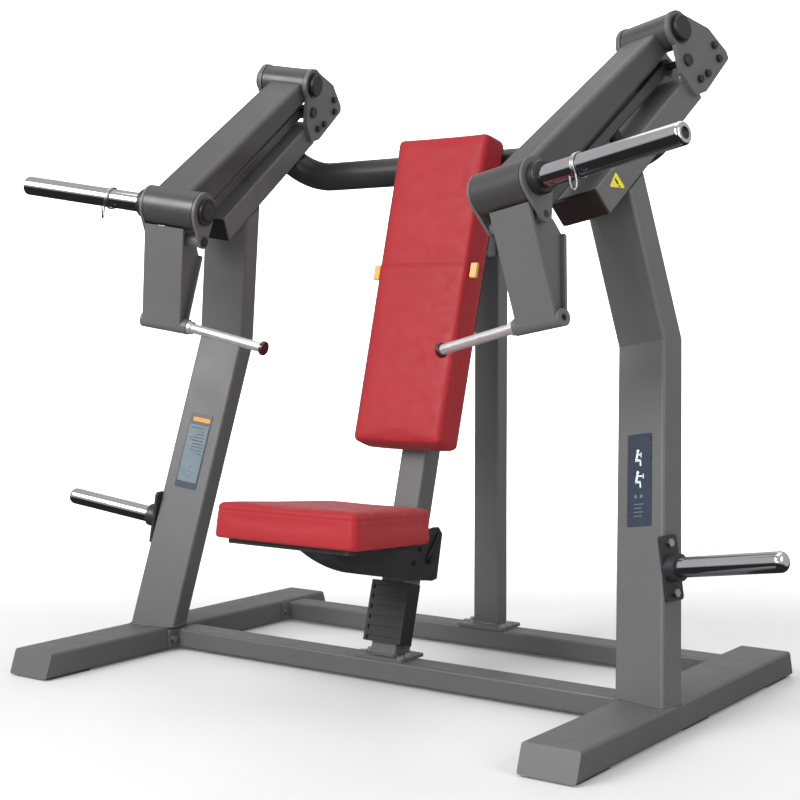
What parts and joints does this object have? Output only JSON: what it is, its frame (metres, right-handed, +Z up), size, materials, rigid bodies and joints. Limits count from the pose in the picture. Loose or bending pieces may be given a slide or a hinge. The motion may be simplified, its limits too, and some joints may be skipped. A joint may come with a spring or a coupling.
{
  "type": "chest press machine",
  "caption": "Plate-loaded seated chest press machine with parallel-link press arms, padded adjustable seat, reclined back pad and weight storage horns.",
  "frame": {"origin": "on the floor, midway between the feet, side to side and front to back", "axes": "+Z up; -Y is the side the user faces when seated; X runs across the machine, and names starting right_ are on the +X side, as seen by somebody standing in front of it"},
  "size_m": [2.162, 1.158, 1.6624],
  "materials": {
    "frame_paint": "satin powder coat",
    "arm_paint": "satin powder coat",
    "chrome": "polished",
    "steel": "zinc plated",
    "dark_steel": "blackened",
    "black_plastic": "matte",
    "rubber": "matte",
    "upholstery": "soft satin vinyl",
    "board": "black lacquer",
    "yellow_plastic": "gloss",
    "placard_film": "satin film",
    "label_film": "satin film"
  },
  "bodies": {
    "frame": {"back_board": "board", "back_brackets": "frame_paint", "back_crosstube": "frame_paint", "back_pad": "upholstery", "boom_end_caps": "black_plastic", "foot_pads": "rubber", "frame_bolts": "steel", "front_crossbar": "frame_paint", "left_boom": "frame_paint", "left_foot": "frame_paint", "left_upright": "frame_paint", "link_pins": "dark_steel", "pad_tabs": "yellow_plastic", "pivot_bearings": "dark_steel", "pivot_caps": "black_plastic", "pivot_plates": "frame_paint", "placards": "placard_film", "plate_bolts": "dark_steel", "post_base_plates": "frame_paint", "rear_crossbar": "frame_paint", "rear_post": "frame_paint", "rest_bumpers": "rubber", "right_boom": "frame_paint", "right_foot": "frame_paint", "right_upright": "frame_paint", "seat_post": "frame_paint", "seat_rack": "black_plastic", "storage_horns": "chrome", "storage_plates": "frame_paint", "warning_labels": "label_film"},
    "right_arm": {"right_press_arm": "arm_paint", "right_pivot_shaft": "steel", "right_weight_horn": "chrome", "right_horn_plug": "black_plastic", "right_hub_retainer": "dark_steel", "right_horn_collar": "black_plastic"},
    "right_link": {"right_link_bar": "arm_paint"},
    "right_drop": {"right_drop_link": "arm_paint", "right_link_front_pin": "dark_steel", "right_handle": "chrome", "right_handle_end": "chrome"},
    "right_clip": {"right_spring_clip": "steel"},
    "left_arm": {"left_press_arm": "arm_paint", "left_pivot_shaft": "steel", "left_weight_horn": "chrome", "left_horn_plug": "black_plastic", "left_hub_retainer": "dark_steel", "left_horn_collar": "black_plastic"},
    "left_link": {"left_link_bar": "arm_paint"},
    "left_drop": {"left_drop_link": "arm_paint", "left_link_front_pin": "dark_steel", "left_handle": "chrome", "left_handle_end": "chrome"},
    "left_clip": {"left_spring_clip": "steel"},
    "seat": {"seat_pad": "upholstery", "seat_board": "board", "seat_carriage": "arm_paint", "slide_liner": "black_plastic", "seat_fasteners": "dark_steel"},
    "lever": {"seat_lever": "black_plastic"}
  },
  "joints": [
    {"name": "right_arm_hinge", "type": "hinge", "parent": "frame", "child": "right_arm", "pos_m": [0.57567, 0.25671, 1.60419], "axis": [-0.967, 0.1985, -0.1599], "range_deg": [0, 45]},
    {"name": "right_link_hinge", "type": "hinge", "parent": "frame", "child": "right_link", "pos_m": [0.57725, 0.27272, 1.52693], "axis": [-0.967, 0.1985, -0.1599], "range_deg": [0, 45]},
    {"name": "right_drop_hinge", "type": "hinge", "parent": "right_arm", "child": "right_drop", "pos_m": [0.51648, -0.29567, 1.20758], "axis": [0.967, -0.1985, 0.1599], "range_deg": [0, 45]},
    {"name": "right_clip_slide", "type": "slide", "parent": "right_arm", "child": "right_clip", "axis": [0.967, -0.1985, 0.1599], "range_m": [-0.085, 0.26]},
    {"name": "left_arm_hinge", "type": "hinge", "parent": "frame", "child": "left_arm", "pos_m": [-0.57567, 0.25671, 1.60419], "axis": [-0.967, -0.1985, 0.1599], "range_deg": [0, 45]},
    {"name": "left_link_hinge", "type": "hinge", "parent": "frame", "child": "left_link", "pos_m": [-0.57725, 0.27272, 1.52693], "axis": [-0.967, -0.1985, 0.1599], "range_deg": [0, 45]},
    {"name": "left_drop_hinge", "type": "hinge", "parent": "left_arm", "child": "left_drop", "pos_m": [-0.51648, -0.29567, 1.20758], "axis": [0.967, 0.1985, -0.1599], "range_deg": [0, 45]},
    {"name": "left_clip_slide", "type": "slide", "parent": "left_arm", "child": "left_clip", "axis": [-0.967, -0.1985, 0.1599], "range_m": [-0.085, 0.26]},
    {"name": "seat_height", "type": "slide", "parent": "frame", "child": "seat", "axis": [0, 0.2662, 0.9639], "range_m": [0, 0.1]},
    {"name": "lever_hinge", "type": "hinge", "parent": "seat", "child": "lever", "pos_m": [0.052, 0.06, 0.3], "axis": [-1, 0, 0], "range_deg": [0, 15], "stiffness_Nm_per_rad": 0.5, "springref_deg": -17.19}
  ],
  "couplings": [
    {"joint": "right_link_hinge", "follows": "right_arm_hinge", "ratio": 1},
    {"joint": "right_drop_hinge", "follows": "right_arm_hinge", "ratio": 1},
    {"joint": "left_link_hinge", "follows": "left_arm_hinge", "ratio": 1},
    {"joint": "left_drop_hinge", "follows": "left_arm_hinge", "ratio": 1}
  ]
}
